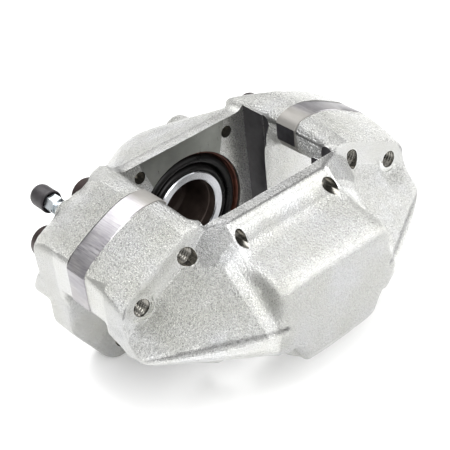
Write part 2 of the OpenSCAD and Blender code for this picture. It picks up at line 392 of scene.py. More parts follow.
def arm_section(drop):
    """Section of an arm as [x, z]; drop lowers its crowned top."""
    return [(BAY_X + 0.6, 43.4 - 0.2 * drop), (42.2, 46.6 - 0.25 * drop), (48, 47.9 - 0.5 * drop),
            (56, 47.4 - 0.75 * drop), (65, 44.3 - 0.85 * drop), (75.5, 39.1 - 0.85 * drop),
            (84.4, 33.8 - 0.9 * drop), (HALF_LENGTH, 29 - 0.9 * drop),
            (HALF_LENGTH, 10.5), (84, 5.5), (50, 22), (42, 29), (BAY_X + 0.6, 34)]


def abutment_section(low):
    """Section of the wall below an arm as [x, z]; low is its outer corner's height."""
    return [(BAY_X - 2, 34), (HALF_LENGTH, low + 6), (HALF_LENGTH, low),
            (62, -13), (47, -28), (BAY_X + 2, -34.5), (BAY_X - 2, -34.5)]


def trimmed(f, body, reach):
    """A casting cut to the caliper's length and reach, without the space that the disc sweeps."""
    swept = DISC_R - np.sqrt(f.x ** 2 + (f.z + HUB_DEPTH) ** 2)
    body = smooth_max(body, f.side - HALF_LENGTH + SKIN, 1.0)
    body = smooth_max(body, f.y - reach + SKIN, 0.8)
    return np.maximum(body, np.where(f.y < SLOT_Y, swept, FAR_INSIDE))


def cylinder_cutter(side):
    """Bore, seal groove and boot recess of one half."""
    profile = [(RECESS_R, WALL_Y - 2), (RECESS_R, RECESS_Y), (BORE_R, RECESS_Y), (BORE_R, SEAL_Y),
               (GROOVE_R, SEAL_Y), (GROOVE_R, SEAL_Y + SEAL_WIDTH), (BORE_R, SEAL_Y + SEAL_WIDTH),
               (BORE_R, BORE_END)]
    return turned("cylinder_cutter", mirrored(profile, side), segments=128, closed=False)


def bay_cutters(side):
    """Machined pad bay: the wall, the abutments and the face that meets the spacers."""
    seam = SPACER_IN if side == INBOARD else SPACER_OUT
    ys = sorted((side * (SLOT_Y - 0.01), side * WALL_Y))
    wide = sorted((side * (seam - 6), side * SLOT_Y))
    face = sorted((side * (seam - 8), side * seam))
    return [block("bay", (-BAY_X, ys[0], -90), (BAY_X, ys[1], 90)),
            block("bay_middle", (-BAY_X - 0.3, wide[0], -90), (BAY_X + 0.3, wide[1], 90)),
            block("mating_face", (-100, face[0], -90), (100, face[1], 90))]


# ---------- outboard half ----------

WING_FACE = [(HALF_LENGTH, ARM_OUT, 10.2), (60, ARM_OUT, 25), (30, ARM_OUT, 41.6),
             (86.3, 42, 0.9), (32, 74, 2.9)]
WING_LIP = [(HALF_LENGTH, 41, -0.2), (87.6, 42.2, -0.4), (64, 57, -2.4), (49, 65.8, -4.7),
            (40, 69.6, -7.9), (30, 71.5, -13)]
BAY_CORNER = [(BAY_X + 0.5, 27, BAY_TOP + 0.3), (29, 27, BAY_TOP),
              (BAY_X + 0.2, ARM_OUT, BAY_TOP + 0.3), (29, 35, BAY_TOP), (47, ARM_OUT, 31.8),
              (38, 43, 26.6), (30, 45, 28.6), (BAY_X, 27, 20), (29, 27, 20)]
HOUSING_FRONT = [(32.2, 50), (31.6, 22), (34.5, 1), (15.5, -22), (12, -36),
                 (-12, -36), (-15.5, -22), (-34.5, 1), (-31.6, 22), (-32.2, 50)]


def outboard_field():
    """The outboard casting before machining, measured away from the disc along +Y."""
    f = Field((-92, 0, -44), (92, 78, 52))
    arm = f.convex(at_y(arm_section(0), 2) + at_y(arm_section(3.4), 18)
                   + at_y(arm_section(9.5), ARM_OUT), soft=1.5)
    wall = f.convex(at_y(abutment_section(4), SLOT_Y) + at_y(abutment_section(0), ARM_OUT))
    wing = f.convex(WING_FACE + WING_LIP + at_y(abutment_section(0), ARM_OUT), soft=0.8)
    body = smooth_min(smooth_min(arm, wall, 0.5), wing, 5.0)
    housing = housing_block(f)
    round_wall = smooth_min(f.rod((0, 0), HOUSING_R, 10, 46), f.rod((0, 0), 33.5, 10, 63), 3)
    housing = smooth_min(housing, smooth_max(round_wall, housing_roof(f), 1), 1.0)
    body = smooth_min(body, smooth_min(housing, f.convex(BAY_CORNER), 1.0), 6.0)
    body = smooth_max(body, -cast_pocket(f), 2.0)
    near_rim = (f.y > ARM_OUT - 1) & (f.side < BAY_X + 2)
    body = smooth_max(body, np.where(near_rim, f.z - BAY_TOP - 0.1, FAR_INSIDE), 0.8)
    groove = f.capsule(WING_FACE[3], WING_FACE[4], 1.3)
    return f, trimmed(f, smooth_max(body, -groove, 0.5), OUT_REACH)


def cast_pocket(f):
    """Shallow cast pocket that opens outwards round the lower tapped hole."""
    out = f.y - ARM_OUT
    wall = np.sqrt((f.side - LOWER_BOLT[0]) ** 2 + (f.z - LOWER_BOLT[1]) ** 2) - 7.4 - 0.35 * out
    return smooth_max(wall, 0.2 - out, 1.5)


def housing_roof(f):
    """Height above the rim and the scooped roof, positive outside."""
    scoop_r = 10
    scoop_y = RIM_EDGE_Y + 10.8
    scoop_z = 40.5
    scoop = np.sqrt((f.y - scoop_y) ** 2 + (f.z - scoop_z) ** 2)
    floor = f.z - (30.5 - 0.19 * (f.y - 47.5))
    hollow = np.where(f.y > scoop_y, floor, scoop_r - scoop)
    over = np.where(f.z > scoop_z, 0.8 + f.z - scoop_z, hollow)
    past_rim = np.where(f.y > RIM_EDGE_Y, over, FAR_INSIDE)
    return np.maximum(f.z - BAY_TOP, past_rim) + 0 * f.x


def housing_block(f):
    """The angular housing, with a softly rounded front and a broad bright edge to its roof."""
    front = 0.99 * (f.y - OUT_REACH) + 0.02 * f.z + 0 * f.x
    under = 0.79 * (f.y - 72) - 0.62 * (f.z + 21.5)
    low = -36 - f.z
    prism = [(x, y, z) for x, z in HOUSING_FRONT for y in (10, 80)]
    walls = smooth_max(f.convex(prism, soft=1.5, mirrored=False), front, 6.0)
    walls = smooth_max(walls, np.maximum(under, low) + 0 * f.x, 2.0)
    return smooth_max(walls, housing_roof(f), 8.0)


def tapped_hole_cutters(at):
    """Threads of a bridge bolt's hole, which start just inside the outer face."""
    depth = 0.75
    lead = [(TAPPED_R + 0.2, -CLEAR), (TAPPED_R + 0.2, -ARM_OUT - 0.1),
            (TAPPED_R, -ARM_OUT + 0.8)]
    return [threaded_rod("thread", at, BOLT_R - 0.15, depth, BOLT_PITCH, -ARM_OUT + 0.7, -15),
            turned("lead_in", lead, at, 48, closed=False),
            rod("bolt_bore", at, BOLT_R + 0.02, -22, 0)]


def passage_cutters(sign, seam):
    """Fluid passage through a mating face at a signed y, with the pocket for its seal."""
    at = (sign * PASSAGE[0], PASSAGE[1])
    side = math.copysign(1, seam)
    passage = sorted((0, side * 20))
    pocket = sorted((0, seam + side * SEAL_POCKET_DEPTH))
    return [rod("passage", at, PASSAGE_R, *passage), rod("seal_pocket", at, SEAL_POCKET_R, *pocket)]


def outboard_half():
    """The outboard casting with all of its machining."""
    f, values = outboard_field()
    casting = f.mesh("outboard_casting", values, side=OUTBOARD)
    roughen(casting, outboard_skin, OUTBOARD_CREASES, seed=3)
    cutters = bay_cutters(OUTBOARD) + [cylinder_cutter(OUTBOARD)]
    for sign in (1, -1):
        for x, z in (UPPER_BOLT, LOWER_BOLT):
            cutters += tapped_hole_cutters((sign * x, z))
        lower = (sign * LOWER_BOLT[0], LOWER_BOLT[1])
        cutters += [rod("spot_face", lower, SPOT_FACE_R, -CLEAR, -ARM_OUT),
                    rod("pin_hole", (sign * PIN[0], PIN[1]), PIN_R, -CLEAR, -WALL_Y + 1),
                    *passage_cutters(sign, -SPACER_OUT)]
    return machine(casting, cutters)


# ---------- inboard half ----------

LUG_OUTLINE_R = 12.0
LOW_CORNER = [(HALF_LENGTH, 38, 8), (HALF_LENGTH, 44, -2.4), (84, 44, -8.5), (66, 42, -13)]
ARM_END = [(BAY_X, 42.2), (43, 42.4), (50.4, 40.6), (56, 38.8), (64, 36.2), (73.5, 34),
           (84.4, 29.1), (HALF_LENGTH, 24.3), (HALF_LENGTH, 10.5), (84, 5.5), (50, 22), (42, 29),
           (BAY_X, 34)]


def inboard_field():
    """The inboard casting before machining."""
    f = Field((-92, 0, -56), (92, 75, 52))
    crown = [(BAY_X, 40, 44.2), (43, 41, 44), (38, 46, 41.5), (44, 45, 41)]
    arm = f.convex(at_y(arm_section(0), 2) + at_y(arm_section(1), ARM_IN - 11)
                   + at_y(ARM_END, ARM_IN) + crown, soft=1.2)
    wall = f.convex(at_y(abutment_section(5), SLOT_Y) + at_y(abutment_section(-2), ARM_IN - 4)
                    + at_y(abutment_section(0), ARM_IN) + LOW_CORNER, soft=0.8)
    port_boss = f.rod((-BLEED[0], BLEED[1]), 6.0, ARM_IN - 6, BLEED_BOSS_Y + 1, 1.0, mirrored=True)
    lug = f.convex(circle(LUG_MIDDLE, LUG_OUTLINE_R, 18) + circle(LUG_MIDDLE, LUG_OUTLINE_R, 34)
                   + box_points((BAY_X, 18, -18), (HALF_LENGTH - 2, 34, 2))
                   + box_points((BAY_X - 2, 18, -38), (BAY_X + 6, 36, -8)), soft=0.8)
    body = smooth_min(smooth_min(arm, wall, 0.5), smooth_min(port_boss, lug, 0.5), 2.0)
    housing = f.convex(box_points((-44, WALL_Y - 14, -20), (44, WALL_Y + 9, 36))
                       + box_points((-BAY_X, WALL_Y - 14, 0), (BAY_X, RIM_EDGE_Y + 1.5, BAY_TOP))
                       + circle((0, 0), 32, 51) + circle((0, 0), 32, 68)
                       + circle((0, 0), 29.5, IN_REACH), soft=1.2, mirrored=False)
    housing = smooth_min(housing, f.rod((0, 0), HOUSING_R, 20, 46), 3.0)
    inlet = f.rod(INLET, 9.5, 46, INLET_MOUTH_Y, 1.2)
    body = smooth_min(smooth_min(body, housing, 5.0), inlet, 5.0)
    return f, trimmed(f, body, IN_REACH)


def inboard_half():
    """The inboard casting with all of its machining."""
    f, values = inboard_field()
    casting = f.mesh("inboard_casting", values)
    roughen(casting, inboard_skin, INBOARD_CREASES, seed=11)
    cutters = bay_cutters(INBOARD) + [cylinder_cutter(INBOARD)]
    for sign in (1, -1):
        for x, z in (UPPER_BOLT, LOWER_BOLT):
            cutters += [rod("bolt_hole", (sign * x, z), BOLT_HOLE_R, 0, SEAT_Y + 1),
                        rod("spot_face", (sign * x, z), HEAD_R + 1, SEAT_Y, 70)]
        cutters += [rod("pin_hole", (sign * PIN[0], PIN[1]), PIN_R, WALL_Y - 1, WALL_Y + 6),
                    rod("lug_hole", (sign * LUG[0], LUG[1]), LUG_HOLE_R, 10, 42),
                    *passage_cutters(sign, SPACER_IN)]
    bleed_hole_r, bleed_face_r, inlet_face_r, inlet_r = 4.05, 6.7, 8.0, 5.0
    depth, pitch = 0.6, 1.0
    cutters += [rod("bleed_hole", BLEED, bleed_hole_r, 27, 50),
                rod("bleed_face", BLEED, bleed_face_r, BLEED_BOSS_Y, 60),
                threaded_rod("inlet_thread", INLET, inlet_r, depth, pitch, INLET_MOUTH_Y - 14, 76),
                rod("inlet_face", INLET, inlet_face_r, INLET_MOUTH_Y - 0.4, 76)]
    return machine(casting, cutters)


# ---------- surface grain ----------

def outboard_skin(p, n):
    """Coarseness of the sand grain and painted shade, each from 0 to 1, at a point with its normal. The
    painted shade darkens regions and facings by how the light falls on them.
    """
    x, y, z = abs(p.x), -p.y, p.z
    # The second value is painted shade: darker regions and facings that stand in for how the light
    # falls.
    # Rim of the pad bay, faces beside the disc, roof of the housing
    if x < BAY_X + 1 and z > BAY_TOP - 0.8:
        return 0.1, 0.55
    if y < SLOT_Y + 2 and z < 30:
        return 0.1, 0.15
    if x < (31 if y < 50 else 36) and y > RIM_EDGE_Y and (z > 20 or y > 60):
        past_scoop = min(1, max(0, (y - 43) / 8))
        # The roof's front edge is left without painted shade, as a painted highlight.
        painted_roof_highlight = 1 - min(1, abs(n.z - 0.62) / 0.33)
        return 0.12 + 0.33 * past_scoop, 0.24 * past_scoop * (1 - painted_roof_highlight)
    # Outer faces of the arms, ends of the casting, underside of the wings
    if n.y < -0.8 and y < ARM_OUT + 1.5:
        return 0.15, 0.27
    if abs(n.x) > 0.75 and x > 80:
        return 0.2, 0.24
    if z < 3 - 0.03 * (86 - x) and n.z < 0.4:
        return 0.3, 0.0
    # Tops of the arms beside the bay, corners of the bay, sides and front of the housing
    if x < 50 and y < ARM_OUT and n.z > 0.5:
        return 0.35, 0.3
    if 31 < x < 47 and ARM_OUT <= y < 41 and z > 27:
        return 0.8, 0.3
    if x < 40 and y > 44:
        return 0.3, 0.0
    return 0.9, 0.0


def inboard_skin(p, n):
    """Coarseness and painted shade, as in outboard_skin."""
    x = abs(p.x)
    # The second value is painted shade, as in outboard_skin.
    # Rim of the pad bay, faces beside the disc, ends of the casting
    if x < BAY_X + 1 and p.y < RIM_EDGE_Y + 1 and p.z > BAY_TOP - 0.8:
        return 0.1, 0.45
    if p.y < SLOT_Y + 2 and p.z < 30:
        return 0.1, 0.15
    if abs(n.x) > 0.75 and x > 80:
        return 0.2, 0.24
    # Walls and lugs below the arms, tops of the arms beside the bay, housing
    if p.z < 2 and p.y < 38:
        return 0.2, 0.25
    if x < 52 and p.y < ARM_IN + 4 and n.z > 0.5:
        return 0.35, 0.3
    if p.y > 40:
        return 0.7, 0.18
    return 0.9, 0.0


# Start and end of each cast crease, and the width of its line of painted shade
OUTBOARD_CREASES = [((86.3, 42, 0.9), (32, 74, 2.9), 1.0), ((31.5, 52, 23), (32.5, 73.5, 3.5), 1.4),
                    ((58, 31, 39.2), (73.9, 31, 31.5), 0.45), ((73.9, 31, 31.5), (84, 31, 24.9), 0.6),
                    ((84, 31, 24.9), (87.4, 31, 18), 0.6)]
INBOARD_CREASES = [((58, 36.5, 37.5), (72, 36.5, 33.5), 1.2)]


def painted_crease_shade(p, creases):
    """How much painted shade darkens the surface near a cast crease, from 0 to 1."""
    place = Vector((abs(p.x), abs(p.y), p.z))
    most = 0.0
    for start, end, width in creases:
        start, along = Vector(start), Vector(end) - Vector(start)
        share = min(1, max(0, (place - start).dot(along) / along.length_squared))
        away = (place - start - along * share).length
        most = max(most, 1 - away / (width * 1.6))
    return most


def roughen(obj, skin, creases, seed):
    """Moves each vertex by cast lumps and sand grain, and stores its grain and its painted shade."""
    lump_size, lump_height = 7.0, 0.16
    sand_size, sand_height = 1.9, 0.15
    sink = 0.05
    offset = Vector((seed * 17.3, seed * 5.1, seed * 9.7))
    mesh = obj.data
    mesh.update()
    level = np.zeros(len(mesh.vertices), np.float32)
    painted_shade = np.zeros(len(mesh.vertices), np.float32)
    moved = []
    for k, vertex in enumerate(mesh.vertices):
        p = vertex.co / MM
        level[k], facing_shade = skin(p, vertex.normal)
        # Painted shade: the darker of the facing shade and the crease shade.
        painted_shade[k] = max(facing_shade, painted_crease_shade(p, creases))
        lumps = noise.noise(p / lump_size + offset) * lump_height
        sand = noise.noise(p / sand_size + offset) * sand_height * level[k]
        moved.append(vertex.co + vertex.normal * (lumps + sand - sink) * MM)
    for vertex, place in zip(mesh.vertices, moved):
        vertex.co = place
    for name, values in (("grain", level), ("painted_shade", painted_shade)):
        mesh.attributes.new(name, "FLOAT", "POINT").data.foreach_set("value", values)
    mesh.update()


# ---------- machining ----------

CAST, MACHINED, DRILLED, ABUTMENT = range(4)
CASTING_MATERIALS = ("casting", "machined", "drilled", "abutment")
HOLES = [(UPPER_BOLT, 5.2), (LOWER_BOLT, 5.2), (PIN, 3.4), (LUG, 6.5), (PASSAGE, 2.2)]


def in_a_hole(point):
    """Whether a point, in metres, is on the wall of a drilled or tapped hole."""
    x, z = abs(point.x) / MM, point.z / MM
    return any(math.hypot(x - at[0], z - at[1]) < radius for at, radius in HOLES)


def on_an_abutment(face):
    """Whether a face is on one of the ground ends of the pad bay."""
    return abs(face.normal.x) > 0.9 and abs(abs(face.center.x) / MM - BAY_X) < 0.6


def machine(casting, cutters):
    """Cuts a casting and marks the faces that the cutters left as machined or drilled."""
    tool = carve(cutters[0], cutters[1:], "UNION")
    tree = BVHTree.FromPolygons([v.co.copy() for v in tool.data.vertices],
                                [tuple(p.vertices) for p in tool.data.polygons])
    carve(casting, [tool])
    mesh = casting.data
    index = np.full(len(mesh.polygons), CAST, np.int32)
    for k, face in enumerate(mesh.polygons):
        if tree.find_nearest(face.center, 0.02 * MM)[0] is not None:
            index[k] = DRILLED if in_a_hole(face.center) else MACHINED
            if on_an_abutment(face):
                index[k] = ABUTMENT
    finish(casting, 40, *CASTING_MATERIALS)
    mesh.polygons.foreach_set("material_index", index)
    return casting


# ---------- spacers and bridge bolts ----------

def curve_through(points, steps=5):
    """Smooth curve through points, as Catmull-Rom pieces."""
    ends = [points[0], *points, points[-1]]
    result = []
    for k in range(1, len(ends) - 2):
        p0, p1, p2, p3 = (Vector(ends[k + d]) for d in (-1, 0, 1, 2))
        for j in range(steps):
            t = j / steps
            result.append(0.5 * (2 * p1 + (p2 - p0) * t + (2 * p0 - 5 * p1 + 4 * p2 - p3) * t * t
                                 + (3 * p1 - p0 - 3 * p2 + p3) * t ** 3))
    result.append(Vector(points[-1]))
    return result


def inset(points, distance):
    """Outline moved inwards towards its middle by a distance."""
    middle = Vector((sum(p[0] for p in points), sum(p[1] for p in points))) / len(points)
    result = []
    for x, z in points:
        out = Vector((x, z)) - middle
        result.append(tuple(middle + out * (1 - distance / out.length)))
    return result


def spacer(name, sign):
    """Ground block between the halves, with broken edges and its bolt and passage holes."""
    section = [(BAY_X if x < BAY_X + 1 else x, z) for x, z in arm_section(1.2)]
    outline = curve_through(section[:8]) + section[8:]
    rings = [(-SPACER_OUT, 0.45), (-SPACER_OUT + 0.4, 0.1), (SPACER_IN - 0.4, 0.1),
             (SPACER_IN, 0.45)]
    points = []
    for y, step in rings:
        points += [(sign * x, y, z) for x, z in inset(outline, step)]
    count = len(outline)
    faces = grid_faces(len(rings), count)
    faces += [tuple(range(count)), tuple(range(len(points) - count, len(points)))]
    block_object = add_object(name, points, faces)
    cutters = [rod("bolt_hole", (sign * x, z), BOLT_HOLE_R, -20, 20)
               for x, z in (UPPER_BOLT, LOWER_BOLT)]
    cutters += [rod("passage", (sign * PASSAGE[0], PASSAGE[1]), PASSAGE_R, -20, 20),
                rod("disc", (0, -HUB_DEPTH), DISC_R, -20, 20, 360)]
    carve(block_object, cutters)
    finish(block_object, 25, "spacer", "abutment")
    for face in block_object.data.polygons:
        face.material_index = int(on_an_abutment(face))
    return block_object


def hex_corner(across_flats):
    """Distance from a hexagon's middle to its corners."""
    return across_flats / 2 / math.cos(math.pi / 6)


def hex_prism(name, at, across_flats, y0, y1):
    """Hexagonal bar along Y."""
    return rod(name, at, hex_corner(across_flats), y0, y1, 6)


SOCKET_FLATS = 8.0
SOCKET_DEPTH = 5.2


def bridge_bolt(name, at):
    """Socket-head bolt: rounded head, hexagon socket, plain shank and rolled thread."""
    thread_top = -SPACER_OUT + 1.0
    y_end = float(BOLT_LOW[1])
    head = [(4.6, SEAT_Y + 0.2), (HEAD_R - 0.5, SEAT_Y + 0.02), (HEAD_R, SEAT_Y + 0.5),
            (HEAD_R, HEAD_TOP - 1.1), (HEAD_R - 0.35, HEAD_TOP - 0.4), (HEAD_R - 1.1, HEAD_TOP),
            (4.6, HEAD_TOP)]
    bolt = turned(name, head, at, closed=False)
    shank = rod("shank", at, BOLT_R - 0.02, thread_top - 1.5, SEAT_Y + 2, 96)
    thread = threaded_rod("thread", at, BOLT_R - 0.03, 0.7, BOLT_PITCH, y_end + 0.6, thread_top)
    tip = turned("tip", [(3.9, y_end), (4.35, y_end + 0.8), (4.2, y_end + 2)], at, closed=False)
    carve(bolt, [shank, thread, tip], "UNION")
    socket = hex_prism("socket", at, SOCKET_FLATS, HEAD_TOP - SOCKET_DEPTH, HEAD_TOP + 1)
    mouth = turned("mouth", [(3.9, HEAD_TOP - 0.7), (5.2, HEAD_TOP + 0.6)], at, closed=False)
    carve(bolt, [socket, mouth])
    return finish(bolt, 30, "bolt")


# ---------- pistons, seals and dust boots ----------

BOOT_GROOVE_Y = PISTON_Y + 1.6
CUP_R = 16.6
NOSE_R = 21.0


def mirrored(profile, side):
    """A [radius, y] profile on one side of the disc."""
    return [(r, side * y) for r, y in profile]


def piston(name, side):
    """Hollow piston: turned rim, boot groove, ground skirt and a deep cup."""
    end = PISTON_END
    profile = [(CUP_R + 0.6, PISTON_Y), (NOSE_R - 0.5, PISTON_Y), (NOSE_R, PISTON_Y + 0.5),
               (NOSE_R, BOOT_GROOVE_Y - 0.1), (NOSE_R - 0.1, BOOT_GROOVE_Y),
               (NOSE_R - 1.6, BOOT_GROOVE_Y), (NOSE_R - 1.6, BOOT_GROOVE_Y + 2.6),
               (NOSE_R - 0.1, BOOT_GROOVE_Y + 2.6), (NOSE_R, BOOT_GROOVE_Y + 2.8),
               (NOSE_R, RECESS_Y - 0.6), (PISTON_R, RECESS_Y + 1), (PISTON_R, end - 1.2),
               (PISTON_R - 0.3, end - 0.4), (PISTON_R - 1, end), (0.4, end), (0.4, end - 6),
               (CUP_R - 3, end - 6), (CUP_R - 1.2, end - 6.6), (CUP_R, end - 8.5),
               (CUP_R, PISTON_Y + 9.0), (CUP_R - 0.4, PISTON_Y + 8.6), (CUP_R - 0.4, PISTON_Y + 5.4),
               (CUP_R, PISTON_Y + 5.0), (CUP_R, PISTON_Y + 0.6)]
    solid = turned(name, mirrored(profile, side), segments=128)
    plug = rod("plug", (0, 0), 0.8, *sorted((side * end, side * (end - 6))), segments=24)
    carve(solid, [plug], "UNION")
    finish(solid, 30, "piston", "piston_inside")
    for face in solid.data.polygons:
        p = face.center / MM
        inner = math.hypot(p.x, p.z) < CUP_R + 0.2
        face.material_index = int(inner and abs(p.y) > PISTON_Y + 0.3)
    return solid


def piston_seal(name, side):
    """Square-section ring with rounded corners in the bore's groove."""
    inner, outer = PISTON_R + 0.03, GROOVE_R - 0.06
    y0, y1 = SEAL_Y + 0.2, SEAL_Y + SEAL_WIDTH - 0.2
    ring = [(inner, y0 + 0.3), (inner + 0.3, y0), (outer - 0.3, y0), (outer, y0 + 0.3),
            (outer, y1 - 0.3), (outer - 0.3, y1), (inner + 0.3, y1), (inner, y1 - 0.3)]
    return finish(turned(name, mirrored(ring, side), segments=128), 50, "rubber")


def thick_profile(middle, thickness):
    """Closed outline round a middle line, with rounded ends."""
    left, right = [], []
    for k, p in enumerate(middle):
        along = middle[min(k + 1, len(middle) - 1)] - middle[max(k - 1, 0)]
        across = Vector((-along.y, along.x)).normalized() * thickness / 2
        left.append(p + across)
        right.append(p - across)
    start = middle[0] - (middle[1] - middle[0]).normalized() * thickness * 0.35
    end = middle[-1] + (middle[-1] - middle[-2]).normalized() * thickness * 0.35
    return [tuple(p) for p in [start, *left, end, *right[::-1]]]


def dust_boot(name, side):
    """Rubber bellows that joins the recess to the piston's groove and stretches between them."""
    depth = [(31.2, 7.2), (30.0, 6.4), (29.5, 4.2), (28.6, 2.5), (27.3, 1.8), (26.1, 2.4),
             (25.5, 4.0), (25.0, 5.2), (24.3, 5.3), (23.8, 4.0), (23.2, 2.5), (22.3, 2.0),
             (21.6, 2.7), (21.2, 3.5), (20.3, 3.7)]
    middle = curve_through([(r, WALL_Y + d) for r, d in depth])
    rubber = 1.25
    boot = turned(name, mirrored(thick_profile(middle, rubber), side), segments=144)
    boot.data.materials.append(MATERIALS["boot"])
    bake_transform(boot)
    return boot


def boot_ring(name, side):
    """Pressed ring that holds the boot's bead in the recess."""
    outer = RECESS_R - 0.12
    ring = [(outer, RECESS_Y - 3.2), (outer, RECESS_Y - 6.4), (outer - 0.3, RECESS_Y - 6.8),
            (outer - 0.8, RECESS_Y - 6.8), (outer - 1.15, RECESS_Y - 6.4),
            (outer - 1.35, RECESS_Y - 4.4), (30.2, RECESS_Y - 4.15), (30.0, RECESS_Y - 3.8),
            (30.2, RECESS_Y - 3.3)]
    return finish(turned(name, mirrored(ring, side), segments=144), 50, "boot_ring")


# ---------- bleed screw, cap and passage seals ----------

HEX_FLATS = 8.0
HEX_Y = 44.5
HEX_END = 51.5
NIPPLE_END = 60.0


def bleed_screw(name):
    """Hexagon with turned corners, grooved nipple, thread and seat, drilled for the fluid."""
    flat_r = HEX_FLATS / 2
    corner_r = hex_corner(HEX_FLATS)
    screw = hex_prism(name, BLEED, HEX_FLATS, HEX_Y, HEX_END)
    shape = [(flat_r - 0.1, HEX_Y - 0.1), (corner_r + 0.05, HEX_Y + 0.6),
             (corner_r + 0.05, HEX_END - 0.6), (flat_r - 0.1, HEX_END + 0.1)]
    carve(screw, [turned("turned_corners", shape, BLEED, closed=False)], "INTERSECT")
    neck = turned("neck", [(3.0, 40), (3.05, HEX_Y + 1)], BLEED, closed=False)
    flare = turned("flare", [(3.9, 40.8), (3.9, 42.2), (3.0, 43.2), (3.0, HEX_Y + 0.5)], BLEED,
                   closed=False)
    nipple = turned("nipple", [(2.9, HEX_END - 1), (2.9, HEX_END + 0.7), (2.3, HEX_END + 1.6),
                               (2.3, NIPPLE_END - 4.6), (2.9, NIPPLE_END - 3.8),
                               (2.9, NIPPLE_END - 2.4), (2.0, NIPPLE_END)], BLEED, closed=False)
    thread = threaded_rod("thread", BLEED, 3.97, 0.6, 1.25, 29.5, 41.2)
    seat = turned("seat", [(1.5, 27.4), (3.3, 30.4), (3.3, 31)], BLEED, closed=False)
    carve(screw, [neck, flare, nipple, thread, seat], "UNION")
    carve(screw, [rod("bore", BLEED, 0.9, 33, 64, 24)])
    return finish(screw, 30, "bright_steel")


def bleed_cap(name):
    """Moulded cap with a rounded end, a rolled mouth and a faint parting ring."""
    low, high = node_box("bleed_cap")
    mouth, end = float(low[1]), float(high[1])
    r = float(high[0] - low[0]) / 2
    outside = [(r - 0.5, mouth), (r - 0.12, mouth + 0.25), (r, mouth + 0.8), (r - 0.1, mouth + 1.5),
               (r - 0.12, mouth + 5), (r - 0.12, end - 2.6), (r - 0.5, end - 1.3),
               (r - 1.2, end - 0.45), (r - 2.3, end - 0.05), (0.3, end)]
    inside = [(0.3, NIPPLE_END + 0.5), (3.0, NIPPLE_END + 0.3), (3.05, HEX_END + 0.9),
              (4.95, HEX_END + 0.7), (4.95, mouth + 0.3), (5.1, mouth)]
    cap = turned(name, outside + inside, BLEED, segments=72)
    carve(cap, [rod("plug", BLEED, 0.6, NIPPLE_END + 0.5, end, 16)], "UNION")
    return finish(cap, 40, "cap_rubber")


def passage_seal(name):
    """Round-section ring in the place of its CAD node."""
    low, high = node_box(name)
    wire = float(high[1] - low[1]) / 2
    middle_y = (low[1] + high[1]) / 2
    ring_r = float(high[0] - low[0]) / 2 - wire
    section = [(ring_r + wire * math.cos(a), middle_y + wire * math.sin(a))
               for a in (2 * math.pi * k / 16 for k in range(16))]
    seal = turned(name, section, rod_axis(name), 48)
    seal.data.materials.append(MATERIALS["rubber"])
    return seal


# ---------- materials ----------

def new_material(name):
    """Material with object coordinates, and its tree, shader and coordinate socket."""
    material = bpy.data.materials.new(name)
    material.use_nodes = True
    tree = material.node_tree
    shader = tree.nodes["Principled BSDF"]
    place = tree.nodes.new("ShaderNodeTexCoord").outputs["Object"]
    return material, tree, shader, place


def noise_texture(tree, place, size_mm, detail, rough, stretch=(1, 1, 1)):
    """Value between 0 and 1 that varies over about size_mm."""
    mapping = tree.nodes.new("ShaderNodeMapping")
    mapping.inputs["Scale"].default_value = stretch
    tree.links.new(place, mapping.inputs["Vector"])
    texture = tree.nodes.new("ShaderNodeTexNoise")
    texture.inputs["Scale"].default_value = 1000.0 / size_mm
    texture.inputs["Detail"].default_value = detail
    texture.inputs["Roughness"].default_value = rough
    tree.links.new(mapping.outputs[0], texture.inputs["Vector"])
    return texture.outputs["Fac"]


def ramp(tree, value, stops):
    """Colour ramp from (position, colour) stops."""
    node = tree.nodes.new("ShaderNodeValToRGB")
    while len(node.color_ramp.elements) < len(stops):
        node.color_ramp.elements.new(0.5)
    for element, (position, colour) in zip(node.color_ramp.elements, stops):
        element.position = position
        element.color = (*colour, 1)
    tree.links.new(value, node.inputs["Fac"])
    return node.outputs["Color"]


def span_of(tree, value, from_low, from_high, low, high):
    """Value carried from one range to another."""
    node = tree.nodes.new("ShaderNodeMapRange")
    node.inputs["From Min"].default_value = from_low
    node.inputs["From Max"].default_value = from_high
    node.inputs["To Min"].default_value = low
    node.inputs["To Max"].default_value = high
    tree.links.new(value, node.inputs["Value"])
    return node.outputs["Result"]


def span(tree, noise_value, low, high):
    """Noise carried to a range."""
    return span_of(tree, noise_value, 0.25, 0.75, low, high)


def multiply(tree, a, b):
    node = tree.nodes.new("ShaderNodeMath")
    node.operation = "MULTIPLY"
    tree.links.new(a, node.inputs[0])
    tree.links.new(b, node.inputs[1])
    return node.outputs[0]


def scaled_sum(tree, value, factor, added):
    """A socket times a number, plus another socket."""
    node = tree.nodes.new("ShaderNodeMath")
    node.operation = "MULTIPLY_ADD"
    node.inputs[1].default_value = factor
    tree.links.new(value, node.inputs[0])
    tree.links.new(added, node.inputs[2])
    return node.outputs[0]


def tint(tree, amount, base, colour):
    """Base socket carried towards a colour by an amount socket."""
    node = tree.nodes.new("ShaderNodeMix")
    node.data_type = "RGBA"
    factor, first, second = node.inputs[0], node.inputs[6], node.inputs[7]
    tree.links.new(amount, factor)
    tree.links.new(base, first)
    second.default_value = (*colour, 1)
    return node.outputs[2]


def bump(tree, shader, height, distance_mm, strength):
    """Bump from a height between 0 and 1, distance_mm high; strength may be a socket."""
    node = tree.nodes.new("ShaderNodeBump")
    node.inputs["Distance"].default_value = distance_mm * MM
    if isinstance(strength, float):
        node.inputs["Strength"].default_value = strength
    else:
        tree.links.new(strength, node.inputs["Strength"])
    tree.links.new(height, node.inputs["Height"])
    tree.links.new(node.outputs["Normal"], shader.inputs["Normal"])


def attribute_value(tree, name):
    """Value that roughen stored on the vertices."""
    node = tree.nodes.new("ShaderNodeAttribute")
    node.attribute_name = name
    return node.outputs["Fac"]


